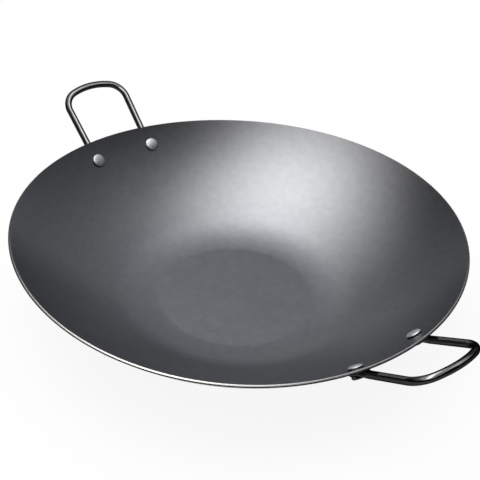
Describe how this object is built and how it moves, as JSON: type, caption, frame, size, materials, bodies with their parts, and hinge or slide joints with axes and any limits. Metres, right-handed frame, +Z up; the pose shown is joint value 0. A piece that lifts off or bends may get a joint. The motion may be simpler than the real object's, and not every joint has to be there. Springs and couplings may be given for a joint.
{
  "type": "saj griddle",
  "caption": "Shallow concave steel griddle pan with a flat floor, a raw-cut rim and a riveted round-rod loop handle on opposite sides, for cooking over a flame or hob.",
  "frame": {"origin": "on the ground under the middle of the bowl, at the centre of its flat underside", "axes": "+X through the middle of the front handle, +Z up out of the bowl, +Y completes the right-handed frame"},
  "size_m": [0.4485, 0.3596, 0.1035],
  "materials": {
    "sheet_steel": "satin dark grey carbon steel, faintly blued, with a bright raw-cut rim edge",
    "black_rod": "polished black round rod with sharp highlights",
    "rivet_steel": "matte silver grey, set by hammer"
  },
  "bodies": {
    "root": {"bowl": "sheet_steel", "front_handle": "black_rod", "back_handle": "black_rod", "front_rivet_left": "rivet_steel", "front_rivet_right": "rivet_steel", "back_rivet_left": "rivet_steel", "back_rivet_right": "rivet_steel"}
  },
  "joints": []
}
